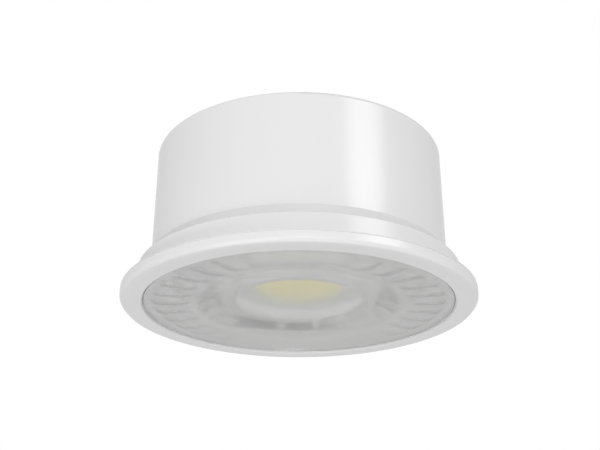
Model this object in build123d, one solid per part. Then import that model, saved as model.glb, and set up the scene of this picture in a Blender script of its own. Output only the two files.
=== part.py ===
from build123d import *
import os
from math import asin, atan, cos, degrees, radians, sin, tan

# LED spotlight module: a round lamp insert that looks down out of a ceiling fitting.
# Millimetres. The origin is the centre of the front face, and +Z runs to the back of the module.

# Front ring: flange, collar and the spigot that is glued into the shell's mouth
module_height = 23.0
flange_radius = 25.0
flange_thickness = 1.65
flange_front_round = 0.35
flange_back_round = 0.15
opening_radius = 22.0
opening_chamfer = 0.12
collar_foot_radius = 23.1
collar_top_radius = 22.8
collar_top = 4.9
collar_foot_round = 0.4
collar_edge_round = 0.2
lens_ledge_width = 1.1
spigot_wall = 1.2

# Housing shell: a moulded cup, open to the front
shell_radius = 21.05
shell_edge = 6.75
shell_draft = 0.4
shell_wall = 1.75
shell_neck_radius = 20.15
shell_back_thickness = 2.0
shell_back_round = 0.45
glue_gap = 0.15

# Lens: clear moulding with a faceted collimator in the middle and a band of flutes round it
lens_rim_gap = 0.15
lens_recess = 0.3
lens_plate = 1.15
lens_depth = 5.05
collimator_facets = 24
collimator_front_radius = 14.2
collimator_waist_radius = 12.9
collimator_back_radius = 11.2
collimator_tip_depth = 1.15
cavity_window = 2.7
cavity_top_radius = 9.0
cavity_mouth_radius = 9.4
flute_count = 32
flute_depth = 0.12
flute_foot_land = 1.1
flute_rim_land = 0.3
flute_land_angle = 0.5
flute_nose = 1.6
flute_tail = 0.8

# Light source: chips under one phosphor disc on a round aluminium-core board
board_gap = 0.95
led_board_radius = 17.6
led_board_thickness = 1.0
dam_radius = 7.0
dam_width = 0.7
dam_height = 0.6
phosphor_height = 0.5
screw_circle_radius = 12.8
screw_head_radius = 1.6
screw_head_height = 0.8
screw_shank_radius = 0.9
screw_clearance = 0.15
thread_clearance = 0.05
screw_tip = 0.6

# Heat spreader: a drawn aluminium cup behind the light source
thermal_pad_radius = 16.5
thermal_pad_thickness = 0.3
spreader_floor = 1.5
spreader_wall = 1.0
spreader_corner = 0.5
spreader_gap = 0.15

# Insulating liner between the spreader and the driver
liner_gap = 0.1
liner_floor = 0.6
liner_wall = 0.5
liner_collar_wall = 0.6
pin_sleeve_gap = 0.2

# Driver board and how the shell holds it
driver_board_radius = 16.9
driver_board_thickness = 1.0
driver_back_room = 2.2
post_radius = 1.7
post_circle_radius = 14.4
post_angles = (90, 210, 330)
stake_radius = 0.75
stake_head_radius = 1.3
stake_head_height = 0.7
stake_gap = 0.1
rib_count = 6
rib_width = 1.4
rib_reach = 2.0
rib_height = 0.8

# Wire inlet: a soft bush in the back of the shell
inlet_radius = 2.55
bush_radius = 2.5
bush_bore_radius = 1.5
bush_flange_radius = 3.8
bush_flange_thickness = 0.75
bush_recess_gap = 0.2
bush_recess_depth = 0.8
bush_lip_radius = 3.1
bush_lip_thickness = 0.7

# Driver parts: lead sizes and the place of each part on the board, as X and Y
lead_radius = 0.3
lead_hole_gap = 0.1
lead_stub = 0.7
output_pin_radius = 0.4
output_pin_pitch = 5.0
output_pin_y = 13.2
pin_solder_radius = 1.0
pin_solder_height = 0.6
input_capacitor_place = (-7.2, 5.4)
input_capacitor_radius = 4.0
input_capacitor_clearance = 0.8
output_capacitor_place = (7.6, 5.6)
output_capacitor_radius = 3.15
output_capacitor_clearance = 1.4
can_edge = 0.4
vent_width = 0.3
vent_depth = 0.2
choke_place = (0.4, -3.4)
choke_radius = 3.6
choke_clearance = 1.9
choke_flange = 0.9
choke_neck_radius = 2.0
winding_radius = 3.2
winding_gap = 0.05
winding_turns = 6
varistor_place = (0.2, 10.6)
varistor_clearance = 1.7
varistor_thickness = 2.2
varistor_lift = 0.8
fuse_place = (-9.2, -3.4)
fuse_radius = 1.15
fuse_length = 5.6
fuse_lift = 0.4
fuse_lead_reach = 1.0
package_stand_off = 0.1
foot_reach = 0.9
foot_width = 0.42
foot_thickness = 0.2
bridge_place = (9.2, -2.2)
bridge_size = (4.7, 3.9, 2.4)
bridge_pitch = 2.5
driver_ic_place = (-5.2, -10.2)
driver_ic_size = (4.9, 3.9, 1.6)
driver_ic_pitch = 1.0
diode_place = (7.6, -8.8)
diode_size = (2.6, 4.3, 2.2)
chip_resistor_places = ((-5.2, -7.0), (3.4, -9.4), (3.6, -11.4), (0.2, 3.6), (0.2, 6.2), (12.9, 1.6))
chip_resistor_size = (3.1, 1.6, 0.6)
chip_capacitor_places = ((-12.8, 1.0), (12.9, 4.0), (-6.0, -0.6))
chip_capacitor_size = (2.0, 1.25, 0.9)
tag_place = (0.0, 6.6)
tag_pitch = 4.0
tag_radius = 0.7
tag_height = 1.1

# Places along the axis that follow from the sizes above
lens_front = lens_recess
lens_seat = lens_front + lens_plate
lens_back = lens_front + lens_depth
lens_rim_radius = opening_radius - lens_rim_gap
ledge_radius = opening_radius - lens_ledge_width
cavity_top = lens_front + cavity_window
flute_band_inner = collimator_front_radius + flute_foot_land
flute_band_outer = ledge_radius - flute_rim_land
led_board_front = lens_back + board_gap
led_board_back = led_board_front + led_board_thickness
spreader_front = led_board_back + thermal_pad_thickness
spreader_back = spreader_front + spreader_floor
shell_inner_radius = shell_radius - shell_wall
shell_ceiling = module_height - shell_back_thickness
spigot_radius = shell_inner_radius - glue_gap
spigot_inner_radius = spigot_radius - spigot_wall
spreader_radius = shell_inner_radius - spreader_gap
spreader_inner_radius = spreader_radius - spreader_wall
spreader_rim = shell_ceiling - rib_height
liner_radius = spreader_inner_radius - liner_gap
liner_top = spreader_back + liner_floor
driver_board_back = shell_ceiling - driver_back_room
driver_board_front = driver_board_back - driver_board_thickness
input_capacitor_height = driver_board_front - liner_top - input_capacitor_clearance
output_capacitor_height = driver_board_front - liner_top - output_capacitor_clearance
choke_height = driver_board_front - liner_top - choke_clearance
varistor_radius = (driver_board_front - liner_top - varistor_clearance - varistor_lift) / 2
screw_hole_radius = screw_shank_radius + screw_clearance
pin_hole_radius = output_pin_radius + pin_sleeve_gap
liner_collar_radius = pin_hole_radius + liner_collar_wall
stake_hole_radius = stake_radius + stake_gap

up_from_base = (Align.CENTER, Align.CENTER, Align.MIN)
screw_places = [(screw_circle_radius, 0), (-screw_circle_radius, 0)]
pin_places = [(side * output_pin_pitch / 2, output_pin_y) for side in (-1, 1)]
tag_places = [(tag_place[0] + side * tag_pitch / 2, tag_place[1]) for side in (-1, 1)]
post_places = [
    (post_circle_radius * cos(radians(a)), post_circle_radius * sin(radians(a))) for a in post_angles
]


def rod(radius, bottom, top, place=(0, 0)):
    """An upright cylinder between two heights."""
    return Pos(place[0], place[1], bottom) * Cylinder(radius, top - bottom, align=up_from_base)


def rods(radius, bottom, top, places):
    """The same rod at several places."""
    return [rod(radius, bottom, top, place) for place in places]


def tube(outer, inner, bottom, top):
    """A plain ring between two heights."""
    return rod(outer, bottom, top) - rod(inner, bottom, top)


def block(width, depth, bottom, top, place=(0, 0), turn=0):
    """An upright block between two heights."""
    box = Box(width, depth, top - bottom, align=up_from_base)
    return Pos(place[0], place[1], bottom) * Rot(0, 0, turn) * box


def turned(outline):
    """A solid turned about the axis from a closed line of radius and height."""
    return revolve(Plane.XZ * make_face(outline), Axis.Z)


def lead_places(place, pitch):
    """Where a part's two leads go through the board."""
    return [(place[0] + side * pitch / 2, place[1]) for side in (-1, 1)]


input_capacitor_leads = lead_places(input_capacitor_place, input_capacitor_radius)
output_capacitor_leads = lead_places(output_capacitor_place, output_capacitor_radius)
choke_leads = lead_places(choke_place, 2 * choke_neck_radius)
varistor_leads = lead_places(varistor_place, 2 * varistor_radius - 2)
fuse_leads = [
    (fuse_place[0], fuse_place[1] + side * (fuse_length / 2 + fuse_lead_reach)) for side in (-1, 1)
]
through_hole_leads = (
    input_capacitor_leads + output_capacitor_leads + choke_leads + varistor_leads + fuse_leads
)


def make_front_ring():
    """Flange, collar and spigot, moulded in one."""
    face_edge = flange_radius - flange_front_round
    back_edge = flange_radius - flange_back_round
    flange_straight_top = flange_thickness - flange_back_round
    foot = collar_foot_radius + collar_foot_round
    foot_top = flange_thickness + collar_foot_round
    outline = Polyline(
        (opening_radius + opening_chamfer, 0),
        (face_edge, 0),
    )
    outline += RadiusArc((face_edge, 0), (flange_radius, flange_front_round), -flange_front_round)
    outline += Line((flange_radius, flange_front_round), (flange_radius, flange_straight_top))
    outline += RadiusArc(
        (flange_radius, flange_straight_top), (back_edge, flange_thickness), -flange_back_round
    )
    outline += Line((back_edge, flange_thickness), (foot, flange_thickness))
    outline += RadiusArc((foot, flange_thickness), (collar_foot_radius, foot_top), collar_foot_round)
    outline += Line((collar_foot_radius, foot_top), (collar_top_radius, collar_top - collar_edge_round))
    outline += RadiusArc(
        (collar_top_radius, collar_top - collar_edge_round),
        (collar_top_radius - collar_edge_round, collar_top),
        -collar_edge_round,
    )
    outline += Polyline(
        (collar_top_radius - collar_edge_round, collar_top),
        (spigot_radius, collar_top),
        (spigot_radius, spreader_front),
        (spigot_inner_radius, spreader_front),
        (spigot_inner_radius, collar_top - lens_ledge_width / 2),
        (ledge_radius, collar_top - lens_ledge_width / 2),
        (ledge_radius, lens_seat),
        (opening_radius, lens_seat),
        (opening_radius, opening_chamfer),
        (opening_radius + opening_chamfer, 0),
    )
    return turned(outline)


def make_lens():
    """Plate with a band of flutes, and a two-slope faceted collimator with a cavity for the light source."""
    plate = rod(lens_rim_radius, lens_front, lens_seat)
    flute = plate & make_flute_cutter()
    lens = plate - [Rot(0, 0, (i + 0.5) * 360 / flute_count) * flute for i in range(flute_count)]
    levels = [
        (lens_seat, collimator_front_radius),
        (lens_back - collimator_tip_depth, collimator_waist_radius),
        (lens_back, collimator_back_radius),
    ]
    sections = [Plane.XY.offset(z) * RegularPolygon(radius, collimator_facets) for z, radius in levels]
    lens += loft(sections[:2], ruled=True)
    lens += loft(sections[1:], ruled=True)
    cavity = Cone(cavity_top_radius, cavity_mouth_radius, lens_back - cavity_top, align=up_from_base)
    return lens - Pos(0, 0, cavity_top) * cavity


def make_flute_cutter():
    """A solid turned about a tilted line through the lens's centre, so that the flute widens outwards.

    A round nose brings the flute up to the back of the plate at its inner end, and a tail at the rim.
    """
    middle = (flute_band_inner + flute_band_outer) / 2
    half_width = middle * radians((360 / flute_count - flute_land_angle) / 2)
    cut_radius = (half_width**2 + flute_depth**2) / (2 * flute_depth)
    rise = asin((cut_radius - flute_depth) / middle)
    slope = cut_radius / (middle * cos(rise))
    along = Vector(cos(atan(slope)), sin(atan(slope)))

    def station(radius, radius_per_length):
        length = radius * cos(rise)
        return (length, length * radius_per_length)

    nose_tip = station(flute_band_inner, tan(rise))
    nose_end = station(flute_band_inner + flute_nose, slope)
    tail_start = station(flute_band_outer - flute_tail, slope)
    tail_tip = station(flute_band_outer, tan(rise))
    outline = TangentArc(nose_end, nose_tip, tangent=-along)
    outline += Line(nose_end, tail_start)
    outline += TangentArc(tail_start, tail_tip, tangent=along)
    outline += Polyline(tail_tip, (tail_tip[0], 0), (nose_tip[0], 0), nose_tip)
    cutter = revolve(make_face(outline), Axis.X)
    return Pos(0, 0, lens_seat) * Rot(0, -degrees(rise), 0) * cutter


def make_led_board():
    board = rod(led_board_radius, led_board_front, led_board_back)
    board -= rods(screw_hole_radius, led_board_front, led_board_back, screw_places)
    return board - rods(pin_hole_radius, led_board_front, led_board_back, pin_places)


def make_phosphor_dam():
    """The white bead that keeps the phosphor in, narrower on top."""
    dam = tube(dam_radius, dam_radius - dam_width, led_board_front - dam_height, led_board_front)
    return chamfer(dam.edges().group_by(Axis.Z)[0], dam_width * 0.3)


def make_phosphor_disc():
    return rod(dam_radius - dam_width, led_board_front - phosphor_height, led_board_front)


def make_board_screws():
    """Two pan-head screws with a cross recess, through the board into the spreader's floor."""
    tip = spreader_back - screw_tip
    screws = []
    for place in screw_places:
        head = rod(screw_head_radius, led_board_front - screw_head_height, led_board_front, place)
        head = chamfer(head.edges().group_by(Axis.Z)[0], screw_head_height * 0.3)
        recess_bottom = led_board_front - screw_head_height * 0.45
        for turn in (0, 90):
            head -= block(
                screw_head_radius * 1.2,
                screw_head_radius * 0.25,
                led_board_front - screw_head_height,
                recess_bottom,
                place,
                turn,
            )
        screws.append(head + rod(screw_shank_radius, led_board_front, tip, place))
    return screws


def make_thermal_pad():
    pad = rod(thermal_pad_radius, led_board_back, spreader_front)
    pad -= rods(screw_hole_radius, led_board_back, spreader_front, screw_places)
    return pad - rods(liner_collar_radius + liner_gap, led_board_back, spreader_front, pin_places)


def make_heat_spreader():
    cup = rod(spreader_radius, spreader_front, spreader_rim)
    cup = fillet(cup.edges().group_by(Axis.Z)[0], spreader_corner)
    cup -= rod(spreader_inner_radius, spreader_back, spreader_rim)
    cup -= rods(screw_shank_radius + thread_clearance, spreader_front, spreader_back, screw_places)
    return cup - rods(liner_collar_radius + liner_gap, spreader_front, spreader_back, pin_places)


def make_driver_liner():
    """Thin cup with two collars that sleeve the output pins through the spreader's floor."""
    liner = rod(liner_radius, spreader_back, spreader_rim)
    liner -= rod(liner_radius - liner_wall, liner_top, spreader_rim)
    liner += rods(liner_collar_radius, spreader_front, spreader_back, pin_places)
    return liner - rods(pin_hole_radius, spreader_front, liner_top, pin_places)


def make_driver_board():
    board = rod(driver_board_radius, driver_board_front, driver_board_back)
    holes = rods(stake_hole_radius, driver_board_front, driver_board_back, post_places)
    holes += rods(
        lead_radius + lead_hole_gap, driver_board_front, driver_board_back, through_hole_leads
    )
    holes += rods(
        output_pin_radius + lead_hole_gap, driver_board_front, driver_board_back, pin_places
    )
    return board - holes


def make_output_pins():
    """Straight pins from the driver to the front of the LED board, each in a cone of solder there."""
    pins = []
    for place in pin_places:
        pin = rod(
            output_pin_radius, led_board_front - pin_solder_height, driver_board_back + lead_stub, place
        )
        solder = Pos(place[0], place[1], led_board_front) * Cone(
            output_pin_radius + 0.05,
            pin_solder_radius,
            pin_solder_height,
            align=(Align.CENTER, Align.CENTER, Align.MAX),
        )
        pins.append(pin + solder)
    return pins


def leads(places, bottom):
    """Wire leads from a part's base through the board to their stubs."""
    return rods(lead_radius, bottom, driver_board_back + lead_stub, places)


def make_capacitor(place, radius, height, wires):
    """Electrolytic can that stands on the board, with the pinched groove above its bung."""
    top = driver_board_front - height
    groove = driver_board_front - height * 0.16
    pinch = radius * 0.08
    outline = Polyline(
        (0, top),
        (radius - can_edge, top),
        (radius, top + can_edge),
        (radius, groove - 2 * pinch),
        (radius - pinch, groove),
        (radius, groove + 2 * pinch),
        (radius, driver_board_front),
        (0, driver_board_front),
        (0, top),
    )
    can = Pos(place[0], place[1], 0) * turned(outline)
    vent = [block(radius * 1.3, vent_width, top, top + vent_depth, place, turn) for turn in (45, 135)]
    return can - vent + leads(wires, driver_board_front)


def make_choke_core():
    """Drum core: two flanges on a neck."""
    base = driver_board_front
    core = rod(choke_radius, base - choke_height, base - choke_height + choke_flange, choke_place)
    core += rod(choke_radius, base - choke_flange, base, choke_place)
    core += rod(choke_neck_radius, base - choke_height, base, choke_place)
    return core + leads(choke_leads, base - choke_flange / 2)


def make_choke_winding():
    """Wound copper between the flanges, with a ridge for each turn that shows."""
    bottom = driver_board_front - choke_height + choke_flange + winding_gap
    top = driver_board_front - choke_flange - winding_gap
    pitch = (top - bottom) / winding_turns
    inner = choke_neck_radius + winding_gap
    valley = winding_radius - pitch * 0.4
    points = [(inner, top), (inner, bottom), (valley, bottom)]
    for i in range(winding_turns):
        points += [(winding_radius, bottom + (i + 0.5) * pitch), (valley, bottom + (i + 1) * pitch)]
    return Pos(choke_place[0], choke_place[1], 0) * turned(Polyline(*points, (inner, top)))


def make_varistor():
    """Round disc on edge, on its two leads."""
    middle = driver_board_front - varistor_lift - varistor_radius
    disc = Rot(90, 0, 0) * Cylinder(varistor_radius, varistor_thickness)
    disc = chamfer(disc.edges().filter_by(GeomType.CIRCLE), varistor_thickness * 0.3)
    place = Pos(varistor_place[0], varistor_place[1], middle)
    return place * disc + leads(varistor_leads, middle)


def make_fuse_resistor():
    """Axial resistor that lies along Y on bent leads."""
    middle = driver_board_front - fuse_lift - fuse_radius
    body = Rot(90, 0, 0) * Cylinder(fuse_radius, fuse_length)
    body = chamfer(body.edges().filter_by(GeomType.CIRCLE), fuse_radius * 0.35)
    span = fuse_leads[1][1] - fuse_leads[0][1] + 2 * lead_radius
    wire = Rot(90, 0, 0) * Cylinder(lead_radius, span)
    place = Pos(fuse_place[0], fuse_place[1], middle)
    return place * (body + wire) + leads(fuse_leads, middle)


def make_flat_package(place, size, pins_per_side, pitch):
    """Surface-mount body with gull-wing feet on two sides, on the front of the board."""
    width, length, height = size
    base = driver_board_front
    middle = base - height / 2
    body = block(width, length, base - height, base - package_stand_off, place)
    body = chamfer(body.edges().group_by(Axis.Z)[0], height * 0.1)
    for side in (-1, 1):
        shoulder = place[0] + side * (width + foot_reach) / 2
        toe = place[0] + side * (width / 2 + foot_reach - foot_thickness / 2)
        for i in range(pins_per_side):
            y = place[1] + (i - (pins_per_side - 1) / 2) * pitch
            body += block(foot_reach, foot_width, middle, middle + foot_thickness, (shoulder, y))
            body += block(foot_thickness, foot_width, middle, base, (toe, y))
    return body


def make_chips(places, size):
    """Small ceramic chips, end caps a little thicker than the middle."""
    length, width, height = size
    top = driver_board_front - height
    chips = []
    for place in places:
        chip = block(length, width, top, driver_board_front, place)
        chips.append(chip - block(length * 0.55, width, top, top + height * 0.1, place))
    return chips


def make_input_tags():
    """Two solder posts for the supply wires, on the back of the driver board."""
    tags = []
    for place in tag_places:
        tag = rod(tag_radius, driver_board_back, driver_board_back + tag_height, place)
        tags.append(chamfer(tag.edges().group_by(Axis.Z)[-1], tag_radius * 0.4))
    return tags


def make_housing_shell():
    """Cup with a drafted wall, a neck that stands on the front ring, ribs, posts and stakes."""
    back_radius = shell_radius - (module_height - shell_edge) * tan(radians(shell_draft))
    neck_top = shell_edge - (shell_radius - shell_neck_radius)
    outline = Polyline(
        (0, module_height),
        (0, collar_top),
        (shell_neck_radius, collar_top),
        (shell_neck_radius, neck_top),
        (shell_radius, shell_edge),
        (back_radius, module_height),
        (0, module_height),
    )
    shell = turned(outline)
    shell = fillet(shell.edges().group_by(Axis.Z)[-1], shell_back_round)
    shell -= rod(shell_inner_radius, collar_top, shell_ceiling)
    rib_middle = shell_inner_radius - rib_reach / 2
    for i in range(rib_count):
        rib = block(rib_reach + 0.4, rib_width, spreader_rim, shell_ceiling, (rib_middle, 0))
        shell += Rot(0, 0, i * 360 / rib_count) * rib & rod(shell_radius - 0.5, collar_top, module_height)
    for place in post_places:
        shell += rod(post_radius, driver_board_back, shell_ceiling, place)
        shell += rod(stake_radius, driver_board_front, driver_board_back, place)
        head = rod(stake_head_radius, driver_board_front - stake_head_height, driver_board_front, place)
        shell += chamfer(head.edges().group_by(Axis.Z)[0], stake_head_height * 0.5)
    shell -= rod(inlet_radius, shell_ceiling, module_height)
    return shell - rod(
        bush_flange_radius + bush_recess_gap, module_height - bush_recess_depth, module_height
    )


def make_wire_bush():
    """Soft bush: outer flange in the recess, body through the wall and a lip that holds it inside."""
    flange_bottom = module_height - bush_recess_depth
    flange = rod(bush_flange_radius, flange_bottom, flange_bottom + bush_flange_thickness)
    flange = fillet(flange.edges().group_by(Axis.Z)[-1], bush_flange_thickness * 0.5)
    lip_bottom = shell_ceiling - bush_lip_thickness
    lip = rod(bush_lip_radius, lip_bottom, shell_ceiling)
    lip = chamfer(lip.edges().group_by(Axis.Z)[0], bush_lip_thickness * 0.6)
    bush = flange + lip + rod(bush_radius, shell_ceiling, flange_bottom)
    return bush - rod(bush_bore_radius, lip_bottom, module_height)


def main():
    parts = {
        "front_ring": make_front_ring(),
        "lens": make_lens(),
        "led_board": make_led_board(),
        "phosphor_dam": make_phosphor_dam(),
        "phosphor_disc": make_phosphor_disc(),
        "board_screws": make_board_screws(),
        "thermal_pad": make_thermal_pad(),
        "heat_spreader": make_heat_spreader(),
        "driver_liner": make_driver_liner(),
        "driver_board": make_driver_board(),
        "output_pins": make_output_pins(),
        "input_capacitor": make_capacitor(
            input_capacitor_place, input_capacitor_radius, input_capacitor_height, input_capacitor_leads
        ),
        "output_capacitor": make_capacitor(
            output_capacitor_place, output_capacitor_radius, output_capacitor_height, output_capacitor_leads
        ),
        "choke_core": make_choke_core(),
        "choke_winding": make_choke_winding(),
        "varistor": make_varistor(),
        "fuse_resistor": make_fuse_resistor(),
        "bridge_rectifier": make_flat_package(bridge_place, bridge_size, 2, bridge_pitch),
        "driver_ic": make_flat_package(driver_ic_place, driver_ic_size, 4, driver_ic_pitch),
        "flyback_diode": make_flat_package(diode_place, diode_size, 1, 0),
        "chip_resistors": make_chips(chip_resistor_places, chip_resistor_size),
        "chip_capacitors": make_chips(chip_capacitor_places, chip_capacitor_size),
        "input_tags": make_input_tags(),
        "housing_shell": make_housing_shell(),
        "wire_bush": make_wire_bush(),
    }
    os.makedirs("parts", exist_ok=True)
    for name, shape in parts.items():
        solids = shape if isinstance(shape, list) else [shape]
        solids = [solid for item in solids for solid in item.solids()]
        whole = solids[0] if len(solids) == 1 else Compound(children=solids)
        export_step(whole, f"parts/{name}.step")


main()
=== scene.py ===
import bmesh
import bpy
import math
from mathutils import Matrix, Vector


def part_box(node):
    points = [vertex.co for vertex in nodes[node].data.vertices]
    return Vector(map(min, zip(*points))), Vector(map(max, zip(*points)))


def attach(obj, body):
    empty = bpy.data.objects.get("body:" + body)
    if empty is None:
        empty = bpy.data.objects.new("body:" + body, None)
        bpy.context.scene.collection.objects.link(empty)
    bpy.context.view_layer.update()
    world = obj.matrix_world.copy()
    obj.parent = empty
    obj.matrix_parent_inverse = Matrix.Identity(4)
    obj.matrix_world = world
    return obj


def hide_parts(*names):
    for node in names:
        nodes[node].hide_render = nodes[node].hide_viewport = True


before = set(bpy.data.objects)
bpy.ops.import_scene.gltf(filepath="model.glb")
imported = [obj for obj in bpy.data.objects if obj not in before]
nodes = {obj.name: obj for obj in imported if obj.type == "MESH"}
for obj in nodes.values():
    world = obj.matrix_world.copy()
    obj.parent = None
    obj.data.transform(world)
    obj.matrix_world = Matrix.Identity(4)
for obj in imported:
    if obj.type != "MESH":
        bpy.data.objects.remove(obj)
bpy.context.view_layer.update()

# The studio. The module hangs lens down in a white surround and is seen from a little below its rim.
# The pale floor lies well under it. A soft lamp stands in front and a weak one low on the left, and a
# tall panel on the right, seen only in glossy surfaces, draws the light band down the satin wall.
MM = 0.001
image_width = 600
camera_back = 128.7 * MM
camera_height = -43.56 * MM
camera_pitch = 23.74
camera_focal_px = 960
camera_sensor = 36
camera_reach = 50
module_axis_px = 299
floor_drop = 600 * MM
floor_size = 8.0
floor_lift = 0.48
surround_light = 0.58


def srgb(hex_colour):
    """A colour written as sRGB hex, turned to the linear values that the shaders take."""
    parts = [int(hex_colour[i : i + 2], 16) / 255 for i in (1, 3, 5)]
    return [p / 12.92 if p <= 0.04045 else ((p + 0.055) / 1.055) ** 2.4 for p in parts] + [1.0]


def add_node(tree, kind, settings=None, **links):
    """One shader node. A link names an input, or i and its number, and gives a value or an output."""
    node = tree.nodes.new("ShaderNode" + kind)
    for name, value in (settings or {}).items():
        setattr(node, name, value)
    for name, value in links.items():
        socket = node.inputs[int(name[1:]) if name[1:].isdigit() else name.replace("_", " ")]
        if isinstance(value, bpy.types.NodeSocket):
            tree.links.new(value, socket)
        else:
            socket.default_value = value
    return node


def new_material(name):
    """An empty node material and its tree."""
    material = bpy.data.materials.new(name)
    material.use_nodes = True
    material.node_tree.nodes.clear()
    return material, material.node_tree


def seen_directly(tree):
    """One for rays that see the white surround itself, in a mirror or through glass, and else nought."""
    rays = add_node(tree, "LightPath")
    seen = rays.outputs["Is Camera Ray"]
    for other in ("Is Glossy Ray", "Is Transmission Ray"):
        larger = add_node(tree, "Math", {"operation": "MAXIMUM"}, i0=seen, i1=rays.outputs[other])
        seen = larger.outputs[0]
    return seen


scene = bpy.context.scene
scene.view_settings.view_transform = "Standard"

camera_data = bpy.data.cameras.new("camera")
camera_data.sensor_width = camera_sensor
camera_data.lens = camera_focal_px * camera_data.sensor_width / image_width
camera_data.shift_x = (image_width / 2 - module_axis_px) / image_width
camera_data.clip_start = 10 * MM
camera_data.clip_end = camera_reach
camera = bpy.data.objects.new("camera", camera_data)
camera.location = (0, -camera_back, camera_height)
camera.rotation_euler = (math.radians(90 + camera_pitch), 0, 0)
scene.collection.objects.link(camera)
scene.camera = camera

world = bpy.data.worlds.new("white_surround")
scene.world = world
world.use_nodes = True
tree = world.node_tree
tree.nodes.clear()
lit = add_node(tree, "Background", Color=srgb("#ffffff"), Strength=surround_light)
plain = add_node(tree, "Background", Color=srgb("#ffffff"), Strength=1.0)
surround = add_node(tree, "MixShader", i0=seen_directly(tree), i1=lit.outputs[0], i2=plain.outputs[0])
output = add_node(tree, "OutputWorld", Surface=surround.outputs[0])

floor_mesh = bpy.data.meshes.new("pale_floor")
shape = bmesh.new()
bmesh.ops.create_grid(shape, x_segments=1, y_segments=1, size=floor_size / 2)
bmesh.ops.translate(shape, verts=shape.verts, vec=(0, 0, -floor_drop))
shape.to_mesh(floor_mesh)
shape.free()
floor = bpy.data.objects.new("pale_floor", floor_mesh)
scene.collection.objects.link(floor)
material, tree = new_material("pale_floor_paint")
paint = add_node(tree, "BsdfDiffuse", Color=srgb("#f4f4f4"))
sheet = add_node(tree, "Emission", Color=srgb("#ffffff"), Strength=1.0)
rays = add_node(tree, "LightPath")
mirrored = add_node(
    tree,
    "Math",
    {"operation": "MAXIMUM"},
    i0=rays.outputs["Is Glossy Ray"],
    i1=rays.outputs["Is Transmission Ray"],
)
lift = add_node(tree, "Math", {"operation": "MULTIPLY"}, i0=rays.outputs["Is Camera Ray"], i1=floor_lift)
paler = add_node(tree, "Emission", Color=srgb("#ffffff"), Strength=lift.outputs[0])
seen_floor = add_node(tree, "AddShader", i0=paint.outputs[0], i1=paler.outputs[0])
cover = add_node(tree, "MixShader", i0=mirrored.outputs[0], i1=seen_floor.outputs[0], i2=sheet.outputs[0])
add_node(tree, "OutputMaterial", Surface=cover.outputs[0])
floor_mesh.materials.append(material)


def add_softbox(name, azimuth, elevation, distance, size, power):
    """A rectangular lamp that faces the module. Azimuth 0 is the camera's side, and 90 is on the right."""
    data = bpy.data.lights.new(name, "AREA")
    data.shape = "RECTANGLE"
    data.size, data.size_y = size
    data.energy = power
    lamp = bpy.data.objects.new(name, data)
    turn, rise = math.radians(azimuth), math.radians(elevation)
    level = math.cos(rise)
    direction = Vector((math.sin(turn) * level, -math.cos(turn) * level, math.sin(rise)))
    lamp.location = direction * distance
    lamp.rotation_euler = direction.to_track_quat("Z", "Y").to_euler()
    scene.collection.objects.link(lamp)
    return lamp


add_softbox("front_softbox", azimuth=6, elevation=-5, distance=0.9, size=(0.4, 0.5), power=2.75)
add_softbox("low_softbox", azimuth=-40, elevation=-48, distance=0.6, size=(0.4, 0.1), power=0.45)
gloss_panel = add_softbox(
    "gloss_panel", azimuth=52, elevation=16, distance=0.8, size=(0.36, 0.68), power=2.9
)
gloss_panel.visible_diffuse = False

# The front ring. One injection moulding in white PBT: a flange with a slightly crowned face, a
# broken outer edge and a parting line round its rim, a tapered collar, and inside a land for the lens
# and a spigot for the shell. The tool is finely spark-eroded, so the skin is satin. Sizes are in mm.
ring_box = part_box("front_ring")
flange_radius = ring_box[1][0] / MM
spigot_top = ring_box[1][2] / MM
flange_thickness = 1.65
edge_break = (0.35, 0.5)
crown_start = 23.6
crown_rise = 0.1
crown_steps = 5
edge_soften = 0.09
flange_back_round = 0.1
parting_line = 1.4
parting_width = 0.12
parting_depth = 0.1
opening_radius = 22.0
opening_chamfer = 0.12
press_land_radius = 21.88
press_land_front = 0.33
collar_foot_radius = 23.1
collar_top_radius = 22.8
collar_top = 4.9
collar_edge_round = 0.2
ledge_radius = 20.9
ledge_height = 1.48
ledge_back = 4.35
spigot_radius = 19.15
spigot_inner_radius = 17.95
steps_round = 192
sharp_from = 32
same_place = 0.01 * MM


def spin_loop(points, closed=True):
    """A bmesh turned about Z from a line of radius and height in millimetres."""
    shape = bmesh.new()
    corners = [shape.verts.new((radius * MM, 0, height * MM)) for radius, height in points]
    pairs = list(zip(corners, corners[1:]))
    if closed:
        pairs.append((corners[-1], corners[0]))
    edges = [shape.edges.new(pair) for pair in pairs]
    bmesh.ops.spin(
        shape,
        geom=corners + edges,
        cent=(0, 0, 0),
        axis=(0, 0, 1),
        dvec=(0, 0, 0),
        angle=math.tau,
        steps=steps_round,
        use_merge=True,
    )
    bmesh.ops.remove_doubles(shape, verts=shape.verts, dist=same_place / 5)
    bmesh.ops.recalc_face_normals(shape, faces=shape.faces)
    return shape


def soften(shape, radius, height, reach, segments=4):
    """Rounds the circular edge at one radius and height in millimetres."""
    ring = [
        v
        for v in shape.verts
        if abs(math.hypot(v.co.x, v.co.y) - radius * MM) < same_place
        and abs(v.co.z - height * MM) < same_place
    ]
    edge = [line for line in shape.edges if line.verts[0] in ring and line.verts[1] in ring]
    bmesh.ops.bevel(
        shape, geom=edge, offset=reach * MM, affect="EDGES", segments=segments, profile=0.5, material=-1
    )


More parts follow.
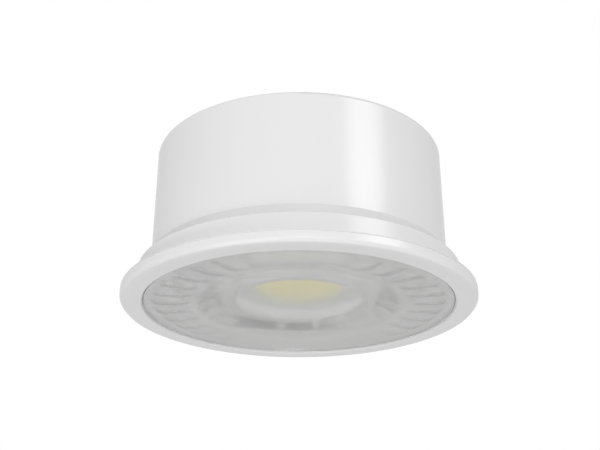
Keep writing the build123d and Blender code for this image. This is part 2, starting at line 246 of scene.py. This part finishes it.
def make_piece(name, shape, material, *stands_for):
    """An object at the origin from a finished bmesh, on the module's one body."""
    mesh = bpy.data.meshes.new(name)
    shape.to_mesh(mesh)
    shape.free()
    mesh.shade_smooth()
    mesh.set_sharp_from_angle(angle=math.radians(sharp_from))
    mesh.materials.append(material)
    piece = bpy.data.objects.new(name, mesh)
    scene.collection.objects.link(piece)
    weighted = piece.modifiers.new("face_weight", "WEIGHTED_NORMAL")
    weighted.keep_sharp = True
    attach(piece, "root")
    if stands_for:
        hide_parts(*stands_for)
    return piece


def satin_moulding(name, colour, roughness):
    """A moulding from a spark-eroded tool: even colour, faint flow clouds and a fine grain.

    The gloss fades towards the outline, fitted to the dull edges of the real one, where a plain plastic
    would shine more. A linked specular level is lost in the export, so there the gloss stays even.
    """
    flow_cloud = 14 * MM
    cloud_shade = 0.975
    grain = 0.18 * MM
    grain_height = 0.004 * MM
    full_shine = 0.5
    grazing_shine = 0.03
    material, tree = new_material(name)
    place = add_node(tree, "TexCoord")
    cloud = add_node(tree, "TexNoise", Vector=place.outputs["Object"], Scale=1 / flow_cloud, Detail=2.0)
    light = srgb(colour)
    shade = [part * cloud_shade for part in light[:3]] + [1.0]
    tint = add_node(tree, "Mix", {"data_type": "RGBA"}, i0=cloud.outputs[0], i6=shade, i7=light)
    facing = add_node(tree, "LayerWeight", Blend=0.5)
    shine = add_node(
        tree, "MapRange", i0=facing.outputs["Facing"], i1=0.2, i2=0.75, i3=full_shine, i4=grazing_shine
    )
    spark = add_node(tree, "TexNoise", Vector=place.outputs["Object"], Scale=1 / grain, Detail=2.0)
    relief = add_node(tree, "Bump", Strength=0.3, Distance=grain_height, Height=spark.outputs[0])
    gloss = add_node(
        tree, "MapRange", i0=spark.outputs[0], i1=0.0, i2=1.0, i3=roughness * 0.9, i4=roughness * 1.1
    )
    skin = add_node(
        tree,
        "BsdfPrincipled",
        Base_Color=tint.outputs[2],
        Roughness=gloss.outputs[0],
        IOR=1.5,
        Specular_IOR_Level=shine.outputs[0],
        Normal=relief.outputs[0],
    )
    add_node(tree, "OutputMaterial", Surface=skin.outputs[0])
    return material


white_pbt = satin_moulding("satin_white_pbt", "#eeeeee", 0.24)
crown_edge = flange_radius - edge_break[0]
crown = [
    (crown_start + (crown_edge - crown_start) * i / crown_steps, crown_rise * (i / crown_steps) ** 2)
    for i in range(crown_steps + 1)
]
ring_shape = spin_loop(
    [
        (opening_radius, 0),
        *crown,
        (flange_radius, edge_break[1]),
        (flange_radius, parting_line),
        (flange_radius - parting_depth, parting_line + parting_width / 2),
        (flange_radius, parting_line + parting_width),
        (flange_radius, flange_thickness),
        (collar_foot_radius, flange_thickness),
        (collar_top_radius, collar_top),
        (spigot_radius, collar_top),
        (spigot_radius, spigot_top),
        (spigot_inner_radius, spigot_top),
        (spigot_inner_radius, ledge_back),
        (ledge_radius, ledge_back),
        (ledge_radius, ledge_height),
        (press_land_radius, ledge_height),
        (press_land_radius, press_land_front),
        (opening_radius, press_land_front),
    ]
)
soften(ring_shape, opening_radius, 0, opening_chamfer, 1)
soften(ring_shape, crown_edge, crown_rise, edge_soften, 2)
soften(ring_shape, flange_radius, edge_break[1], edge_soften, 2)
soften(ring_shape, flange_radius, flange_thickness, flange_back_round, 3)
soften(ring_shape, collar_top_radius, collar_top, collar_edge_round, 3)
make_piece("moulded_front_ring", ring_shape, white_pbt, "front_ring")

# The lens. Clear PMMA, moulded in one and pressed in from the front: a polished front face, and on
# the back a two-slope collimator with 24 facets round a cavity, in a band of 32 shallow flutes.
lens_front_polish = 0.02
window_haze = 0.2
cavity_wall_haze = 0.36
facet_haze = 0.2
flute_haze = 0.08
centre_bloom = 0.29
rim_bloom = 0.44
cavity_edge = 9.5 * MM
flute_band_start = 14.6 * MM
front_skin = 0.5 * MM
window_height = 3.05 * MM
# Painted shade: a dark matt share on the lens rim stands in for the shadow in the gap to the ring.
rim_shade_start = 21.75 * MM
rim_shade_share = 0.34


def round_the_axis(tree):
    """The object coordinates of a point, one by one, and its distance from the module's axis."""
    place = add_node(tree, "TexCoord")
    part = add_node(tree, "SeparateXYZ", Vector=place.outputs["Object"])
    across = add_node(tree, "CombineXYZ", X=part.outputs["X"], Y=part.outputs["Y"])
    radius = add_node(tree, "VectorMath", {"operation": "LENGTH"}, i0=across.outputs[0])
    return place.outputs["Object"], part.outputs, radius.outputs["Value"]


def clear_acrylic(name):
    """PMMA, IOR 1.49, with a clear front and a back that blurs what is behind it, zone by zone.

    A white veil in the front skin softens the inside, and a dark matt share at the rim is painted
    shade for the narrow gap to the ring. Both, and the hazes of the zones, are fitted to the look of
    the lens. Clean PMMA would show far less.
    """
    material, tree = new_material(name)
    place, part, radius = round_the_axis(tree)
    on_back = add_node(tree, "Math", {"operation": "GREATER_THAN"}, i0=part["Z"], i1=front_skin)
    past_cavity = add_node(tree, "Math", {"operation": "GREATER_THAN"}, i0=radius, i1=cavity_edge)
    in_band = add_node(tree, "Math", {"operation": "GREATER_THAN"}, i0=radius, i1=flute_band_start)
    past_window = add_node(tree, "Math", {"operation": "GREATER_THAN"}, i0=part["Z"], i1=window_height)
    cavity_haze = add_node(
        tree, "Mix", {"data_type": "FLOAT"}, i0=past_window.outputs[0], i2=window_haze, i3=cavity_wall_haze
    )
    inner = add_node(
        tree,
        "Mix",
        {"data_type": "FLOAT"},
        i0=past_cavity.outputs[0],
        i2=cavity_haze.outputs[0],
        i3=facet_haze,
    )
    haze = add_node(
        tree, "Mix", {"data_type": "FLOAT"}, i0=in_band.outputs[0], i2=inner.outputs[0], i3=flute_haze
    )
    roughness = add_node(
        tree,
        "Math",
        {"operation": "MULTIPLY_ADD"},
        i0=haze.outputs[0],
        i1=on_back.outputs[0],
        i2=lens_front_polish,
    )
    clear = add_node(
        tree,
        "BsdfPrincipled",
        Base_Color=srgb("#fdfefd"),
        Roughness=roughness.outputs[0],
        IOR=1.49,
        Transmission_Weight=1.0,
    )
    bloom = add_node(tree, "BsdfDiffuse", Color=srgb("#f0f0f0"))
    on_front = add_node(tree, "Math", {"operation": "SUBTRACT"}, i0=1.0, i1=on_back.outputs[0])
    bloom_here = add_node(
        tree,
        "MapRange",
        i0=radius,
        i1=cavity_edge,
        i2=flute_band_start,
        i3=centre_bloom,
        i4=rim_bloom,
    )
    share = add_node(
        tree, "Math", {"operation": "MULTIPLY"}, i0=on_front.outputs[0], i1=bloom_here.outputs[0]
    )
    body = add_node(tree, "MixShader", i0=share.outputs[0], i1=clear.outputs[0], i2=bloom.outputs[0])
    # Painted shade for the rim: a dark diffuse mixed in past rim_shade_start.
    painted_rim_shade = add_node(tree, "BsdfDiffuse", Color=srgb("#2c2c2c"))
    at_rim = add_node(tree, "Math", {"operation": "GREATER_THAN"}, i0=radius, i1=rim_shade_start)
    rim_share = add_node(tree, "Math", {"operation": "MULTIPLY"}, i0=at_rim.outputs[0], i1=rim_shade_share)
    whole = add_node(tree, "MixShader", i0=rim_share.outputs[0], i1=body.outputs[0], i2=painted_rim_shade.outputs[0])
    add_node(tree, "OutputMaterial", Surface=whole.outputs[0])
    return material


def give(node, material):
    """Hands a CAD node its finish."""
    mesh = nodes[node].data
    mesh.materials.clear()
    mesh.materials.append(material)


give("lens", clear_acrylic("moulded_acrylic_with_painted_rim_shade"))

# The light source. Blue chips lie under one disc of yellow phosphor gel inside a white silicone dam,
# on an aluminium-core board with white solder mask. Two zinc-plated pan-head screws pull the board
# onto its spreader.
chip_pitch = 1.6 * MM
# Painted glow: the phosphor gel emits a little light of its own, which brightens the yellow patch.
phosphor_painted_glow = 0.16
# The arc of painted shade on the board: its radius, width and span.
shade_arc_radius = 13.3 * MM
shade_arc_half_width = 1.3 * MM
shade_arc_middle_angle = 13
shade_arc_half_angle = 40
shade_arc_even_angle = 18
mask_mottle = 3 * MM
mask_ripple = 0.6 * MM


def phosphor_gel_with_painted_glow(name):
    """Yttrium phosphor in silicone, poured and cured: deep lemon, paler where a chip lies close under it,
    and with a faint painted glow.
    """
    material, tree = new_material(name)
    place = add_node(tree, "TexCoord")
    cells = add_node(
        tree,
        "TexVoronoi",
        {"voronoi_dimensions": "2D"},
        Vector=place.outputs["Object"],
        Scale=1 / chip_pitch,
        Randomness=0.0,
    )
    over_chip = add_node(tree, "MapRange", i0=cells.outputs["Distance"], i1=0.2, i2=0.6, i3=1.0, i4=0.0)
    tint = add_node(
        tree, "Mix", {"data_type": "RGBA"}, i0=over_chip.outputs[0], i6=srgb("#f2d81e"), i7=srgb("#fff65a")
    )
    # The emission here is a painted glow, not a lamp.
    gel = add_node(
        tree,
        "BsdfPrincipled",
        Base_Color=tint.outputs[2],
        Roughness=0.35,
        IOR=1.41,
        Emission_Color=srgb("#ffef62"),
        Emission_Strength=phosphor_painted_glow,
    )
    add_node(tree, "OutputMaterial", Surface=gel.outputs[0])
    return material


def white_board_with_painted_shade(name):
    """White solder mask with a little orange peel, and a dark arc of painted shade near the board's far
    edge.

    The arc is painted shade: dark colour put on the board where the lens shows a dark crescent.
    What makes the crescent isn't known, so the arc's place, size and colour are only fitted to it.
    """
    material, tree = new_material(name)
    place, part, radius = round_the_axis(tree)
    from_ring = add_node(tree, "Math", {"operation": "SUBTRACT"}, i0=radius, i1=shade_arc_radius)
    ring_gap = add_node(tree, "Math", {"operation": "ABSOLUTE"}, i0=from_ring.outputs[0])
    in_ring = add_node(tree, "Math", {"operation": "LESS_THAN"}, i0=ring_gap.outputs[0], i1=shade_arc_half_width)
    angle = add_node(tree, "Math", {"operation": "ARCTAN2"}, i0=part["X"], i1=part["Y"])
    middle = math.radians(shade_arc_middle_angle)
    turned = add_node(tree, "Math", {"operation": "ADD"}, i0=angle.outputs[0], i1=middle)
    off_middle = add_node(tree, "Math", {"operation": "ABSOLUTE"}, i0=turned.outputs[0])
    in_shade_arc = add_node(
        tree,
        "MapRange",
        i0=off_middle.outputs[0],
        i1=math.radians(shade_arc_even_angle),
        i2=math.radians(shade_arc_half_angle),
        i3=1.0,
        i4=0.0,
    )
    painted_shade_arc = add_node(tree, "Math", {"operation": "MULTIPLY"}, i0=in_ring.outputs[0], i1=in_shade_arc.outputs[0])
    mottle = add_node(tree, "TexNoise", Vector=place, Scale=1 / mask_mottle, Detail=3.0)
    mask = add_node(
        tree, "Mix", {"data_type": "RGBA"}, i0=mottle.outputs[0], i6=srgb("#ebecea"), i7=srgb("#f3f4f2")
    )
    # Painted shade: near-black colours for the arc, standing in for the shade under the lens there.
    dark = add_node(
        tree, "Mix", {"data_type": "RGBA"}, i0=mottle.outputs[0], i6=srgb("#161614"), i7=srgb("#30302d")
    )
    tint = add_node(
        tree, "Mix", {"data_type": "RGBA"}, i0=painted_shade_arc.outputs[0], i6=mask.outputs[2], i7=dark.outputs[2]
    )
    ripple = add_node(tree, "TexNoise", Vector=place, Scale=1 / mask_ripple, Detail=1.0)
    relief = add_node(tree, "Bump", Strength=0.2, Distance=0.01 * MM, Height=ripple.outputs[0])
    skin = add_node(
        tree, "BsdfPrincipled", Base_Color=tint.outputs[2], Roughness=0.4, Normal=relief.outputs[0]
    )
    add_node(tree, "OutputMaterial", Surface=skin.outputs[0])
    return material


def mottled(name, light, dark, patch, roughness, metallic=0.0, stretch=(1, 1, 1), bump=0.0):
    """A plain finish whose colour clouds over patches of one size, drawn out along an axis if need be."""
    material, tree = new_material(name)
    place = add_node(tree, "TexCoord")
    pull = add_node(tree, "Mapping", Vector=place.outputs["Object"], Scale=stretch)
    cloud = add_node(tree, "TexNoise", Vector=pull.outputs[0], Scale=1 / patch, Detail=4.0)
    tint = add_node(tree, "Mix", {"data_type": "RGBA"}, i0=cloud.outputs[0], i6=srgb(dark), i7=srgb(light))
    relief = add_node(tree, "Bump", Strength=bump, Distance=0.02 * MM, Height=cloud.outputs[0])
    skin = add_node(
        tree,
        "BsdfPrincipled",
        Base_Color=tint.outputs[2],
        Roughness=roughness,
        Metallic=metallic,
        Normal=relief.outputs[0],
    )
    add_node(tree, "OutputMaterial", Surface=skin.outputs[0])
    return material


give("phosphor_disc", phosphor_gel_with_painted_glow("phosphor_gel_with_painted_glow"))
give("phosphor_dam", mottled("white_dam_silicone", "#f0f0ee", "#e4e4e0", 1.5 * MM, 0.35))
give("led_board", white_board_with_painted_shade("white_solder_mask_with_painted_shade"))
give("board_screws", mottled("zinc_plated_steel", "#c9ccce", "#a9aeb2", 0.8 * MM, 0.3, 1.0, bump=0.2))
tinned_copper = mottled("tinned_copper", "#cdcdc8", "#b0b0aa", 0.5 * MM, 0.32, 1.0, bump=0.3)
give("output_pins", tinned_copper)

# The heat path. A soft silicone pad, filled with ceramic powder, fills the gap between the board and
# the spreader, a deep-drawn aluminium cup that fits the shell and carries the heat along its wall.
# Drawing leaves fine streaks along the wall.
give("thermal_pad", mottled("ceramic_filled_silicone", "#9fa6ac", "#8b9298", 0.4 * MM, 0.75, bump=0.3))
give(
    "heat_spreader",
    mottled("drawn_aluminium", "#d4d6d8", "#b8bbbe", 0.6 * MM, 0.34, 1.0, stretch=(1, 1, 0.06), bump=0.25),
)

# The insulating liner. A thin cup in natural polyamide keeps the mains side off the spreader, and
# its two collars sleeve the output pins. The plastic is milky, with a dry satin skin.
give("driver_liner", mottled("natural_polyamide", "#e6e4da", "#dcd9cc", 6 * MM, 0.48, bump=0.1))

# The driver board. Glass-epoxy laminate with green solder mask, punched to a disc and held by three
# melted stakes. The glass cloth shows through the mask as a fine square weave.
weave_pitch = 0.45 * MM


def green_laminate(name):
    """FR-4 under green mask: plain weave of glass yarn, seen as a faint grid in the gloss and colour.

    A wave texture of scale 1 repeats every 0.314 m.
    """
    material, tree = new_material(name)
    place = add_node(tree, "TexCoord")
    bands = []
    for axis in ("X", "Y"):
        wave = add_node(
            tree,
            "TexWave",
            {"wave_type": "BANDS", "bands_direction": axis},
            Vector=place.outputs["Object"],
            Scale=0.314 / weave_pitch,
        )
        bands.append(wave.outputs["Fac"])
    weave = add_node(tree, "Math", {"operation": "MULTIPLY"}, i0=bands[0], i1=bands[1])
    tint = add_node(
        tree, "Mix", {"data_type": "RGBA"}, i0=weave.outputs[0], i6=srgb("#1f5a31"), i7=srgb("#2d7541")
    )
    relief = add_node(tree, "Bump", Strength=0.15, Distance=0.01 * MM, Height=weave.outputs[0])
    mask = add_node(
        tree, "BsdfPrincipled", Base_Color=tint.outputs[2], Roughness=0.3, Normal=relief.outputs[0]
    )
    add_node(tree, "OutputMaterial", Surface=mask.outputs[0])
    return material


give("driver_board", green_laminate("green_glass_epoxy"))
give("input_tags", tinned_copper)

# The driver's parts stand on the board with their heads towards the light source: two electrolytic
# cans in shrink sleeves, a drum choke, a dipped varistor, a lacquered fuse resistor, three moulded
# packages with tinned feet, and ceramic chips.
sleeve_wrap = 0.5 * MM
sleeve_cloud = 1 * MM
cloud_share = 0.12


def sleeved_can(name, sleeve_start, sleeve_colour):
    """A bare aluminium end up to one height, and past it a plain shrink sleeve, faintly clouded."""
    material, tree = new_material(name)
    place, part, radius = round_the_axis(tree)
    sleeved = add_node(tree, "Math", {"operation": "GREATER_THAN"}, i0=part["Z"], i1=sleeve_start)
    cloud = add_node(tree, "TexNoise", Vector=place, Scale=1 / sleeve_cloud, Detail=3.0)
    clean = add_node(
        tree,
        "Mix",
        {"data_type": "RGBA"},
        i0=sleeved.outputs[0],
        i6=srgb("#c8cacc"),
        i7=srgb(sleeve_colour),
    )
    shade = add_node(
        tree, "Mix", {"data_type": "RGBA"}, i0=cloud.outputs[0], i6=clean.outputs[2], i7=srgb("#808080")
    )
    tint = add_node(
        tree, "Mix", {"data_type": "RGBA"}, i0=cloud_share, i6=clean.outputs[2], i7=shade.outputs[2]
    )
    bare = add_node(tree, "Math", {"operation": "SUBTRACT"}, i0=1.0, i1=sleeved.outputs[0])
    skin = add_node(
        tree, "BsdfPrincipled", Base_Color=tint.outputs[2], Roughness=0.3, Metallic=bare.outputs[0]
    )
    add_node(tree, "OutputMaterial", Surface=skin.outputs[0])
    return material


for can, colour in (("input_capacitor", "#20304c"), ("output_capacitor", "#26262a")):
    sleeve_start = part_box(can)[0][2] + sleeve_wrap
    give(can, sleeved_can("aluminium_in_" + can + "_sleeve", sleeve_start, colour))
give("choke_core", mottled("ground_ferrite", "#47474a", "#343436", 0.3 * MM, 0.6, bump=0.2))
give("choke_winding", mottled("enamelled_copper", "#c06a34", "#9c4f22", 0.6 * MM, 0.25, 1.0))
give("varistor", mottled("dipped_epoxy", "#3458a8", "#28478c", 1.2 * MM, 0.35, bump=0.4))
give("fuse_resistor", mottled("resistor_lacquer", "#79a886", "#669a75", 0.9 * MM, 0.4, bump=0.2))
moulded_epoxy = mottled("moulded_epoxy", "#2b2b2d", "#1e1e20", 0.12 * MM, 0.55, bump=0.2)
for package in ("bridge_rectifier", "driver_ic", "flyback_diode"):
    give(package, moulded_epoxy)
give("chip_resistors", mottled("glazed_resistor_film", "#303033", "#222224", 0.5 * MM, 0.25))
give("chip_capacitors", mottled("fired_ceramic", "#ac9070", "#97795a", 0.4 * MM, 0.5, bump=0.2))

# The housing shell. The same white PBT as the ring: a drafted cup whose mouth is glued over the
# spigot, with a narrow neck that leaves a shadow gap above the collar. The neck is painted a shade
# whiter, painted light that lifts the shade in that gap, and the hidden back is left rougher by the tool.
# Where the neck's painted light goes: inside this radius and below this height.
painted_light_neck_radius = 21.2 * MM
painted_light_neck_top = 6.8 * MM
back_height = 22.9 * MM
back_roughness = 0.6


def shell_moulding(name):
    """The ring's satin PBT, with the neck painted whiter as painted light against its shade, and a duller
    back.
    """
    material = satin_moulding(name, "#eeeeee", 0.24)
    tree = material.node_tree
    skin = next(node for node in tree.nodes if node.type == "BSDF_PRINCIPLED")
    place, part, radius = round_the_axis(tree)
    within = add_node(tree, "Math", {"operation": "LESS_THAN"}, i0=radius, i1=painted_light_neck_radius)
    below = add_node(tree, "Math", {"operation": "LESS_THAN"}, i0=part["Z"], i1=painted_light_neck_top)
    painted_light_on_neck = add_node(tree, "Math", {"operation": "MULTIPLY"}, i0=within.outputs[0], i1=below.outputs[0])
    moulded = skin.inputs["Base Color"].links[0].from_socket
    # Painted light: the neck is drawn whiter to lift the shade in its gap.
    tint = add_node(
        tree, "Mix", {"data_type": "RGBA"}, i0=painted_light_on_neck.outputs[0], i6=moulded, i7=srgb("#f2f2f2")
    )
    tree.links.new(tint.outputs[2], skin.inputs["Base Color"])
    on_back = add_node(tree, "Math", {"operation": "GREATER_THAN"}, i0=part["Z"], i1=back_height)
    grained = skin.inputs["Roughness"].links[0].from_socket
    gloss = add_node(
        tree, "Mix", {"data_type": "FLOAT"}, i0=on_back.outputs[0], i2=grained, i3=back_roughness
    )
    tree.links.new(gloss.outputs[0], skin.inputs["Roughness"])
    return material


give("housing_shell", shell_moulding("satin_white_pbt_shell_with_painted_neck_light"))

# The wire bush. Soft white rubber, pushed into the hole in the shell's back until its lip snaps
# inside, so that supply wires can't chafe. Rubber is a little greyer and duller than the shell.
give("wire_bush", satin_moulding("soft_white_rubber", "#d6d6d4", 0.55))
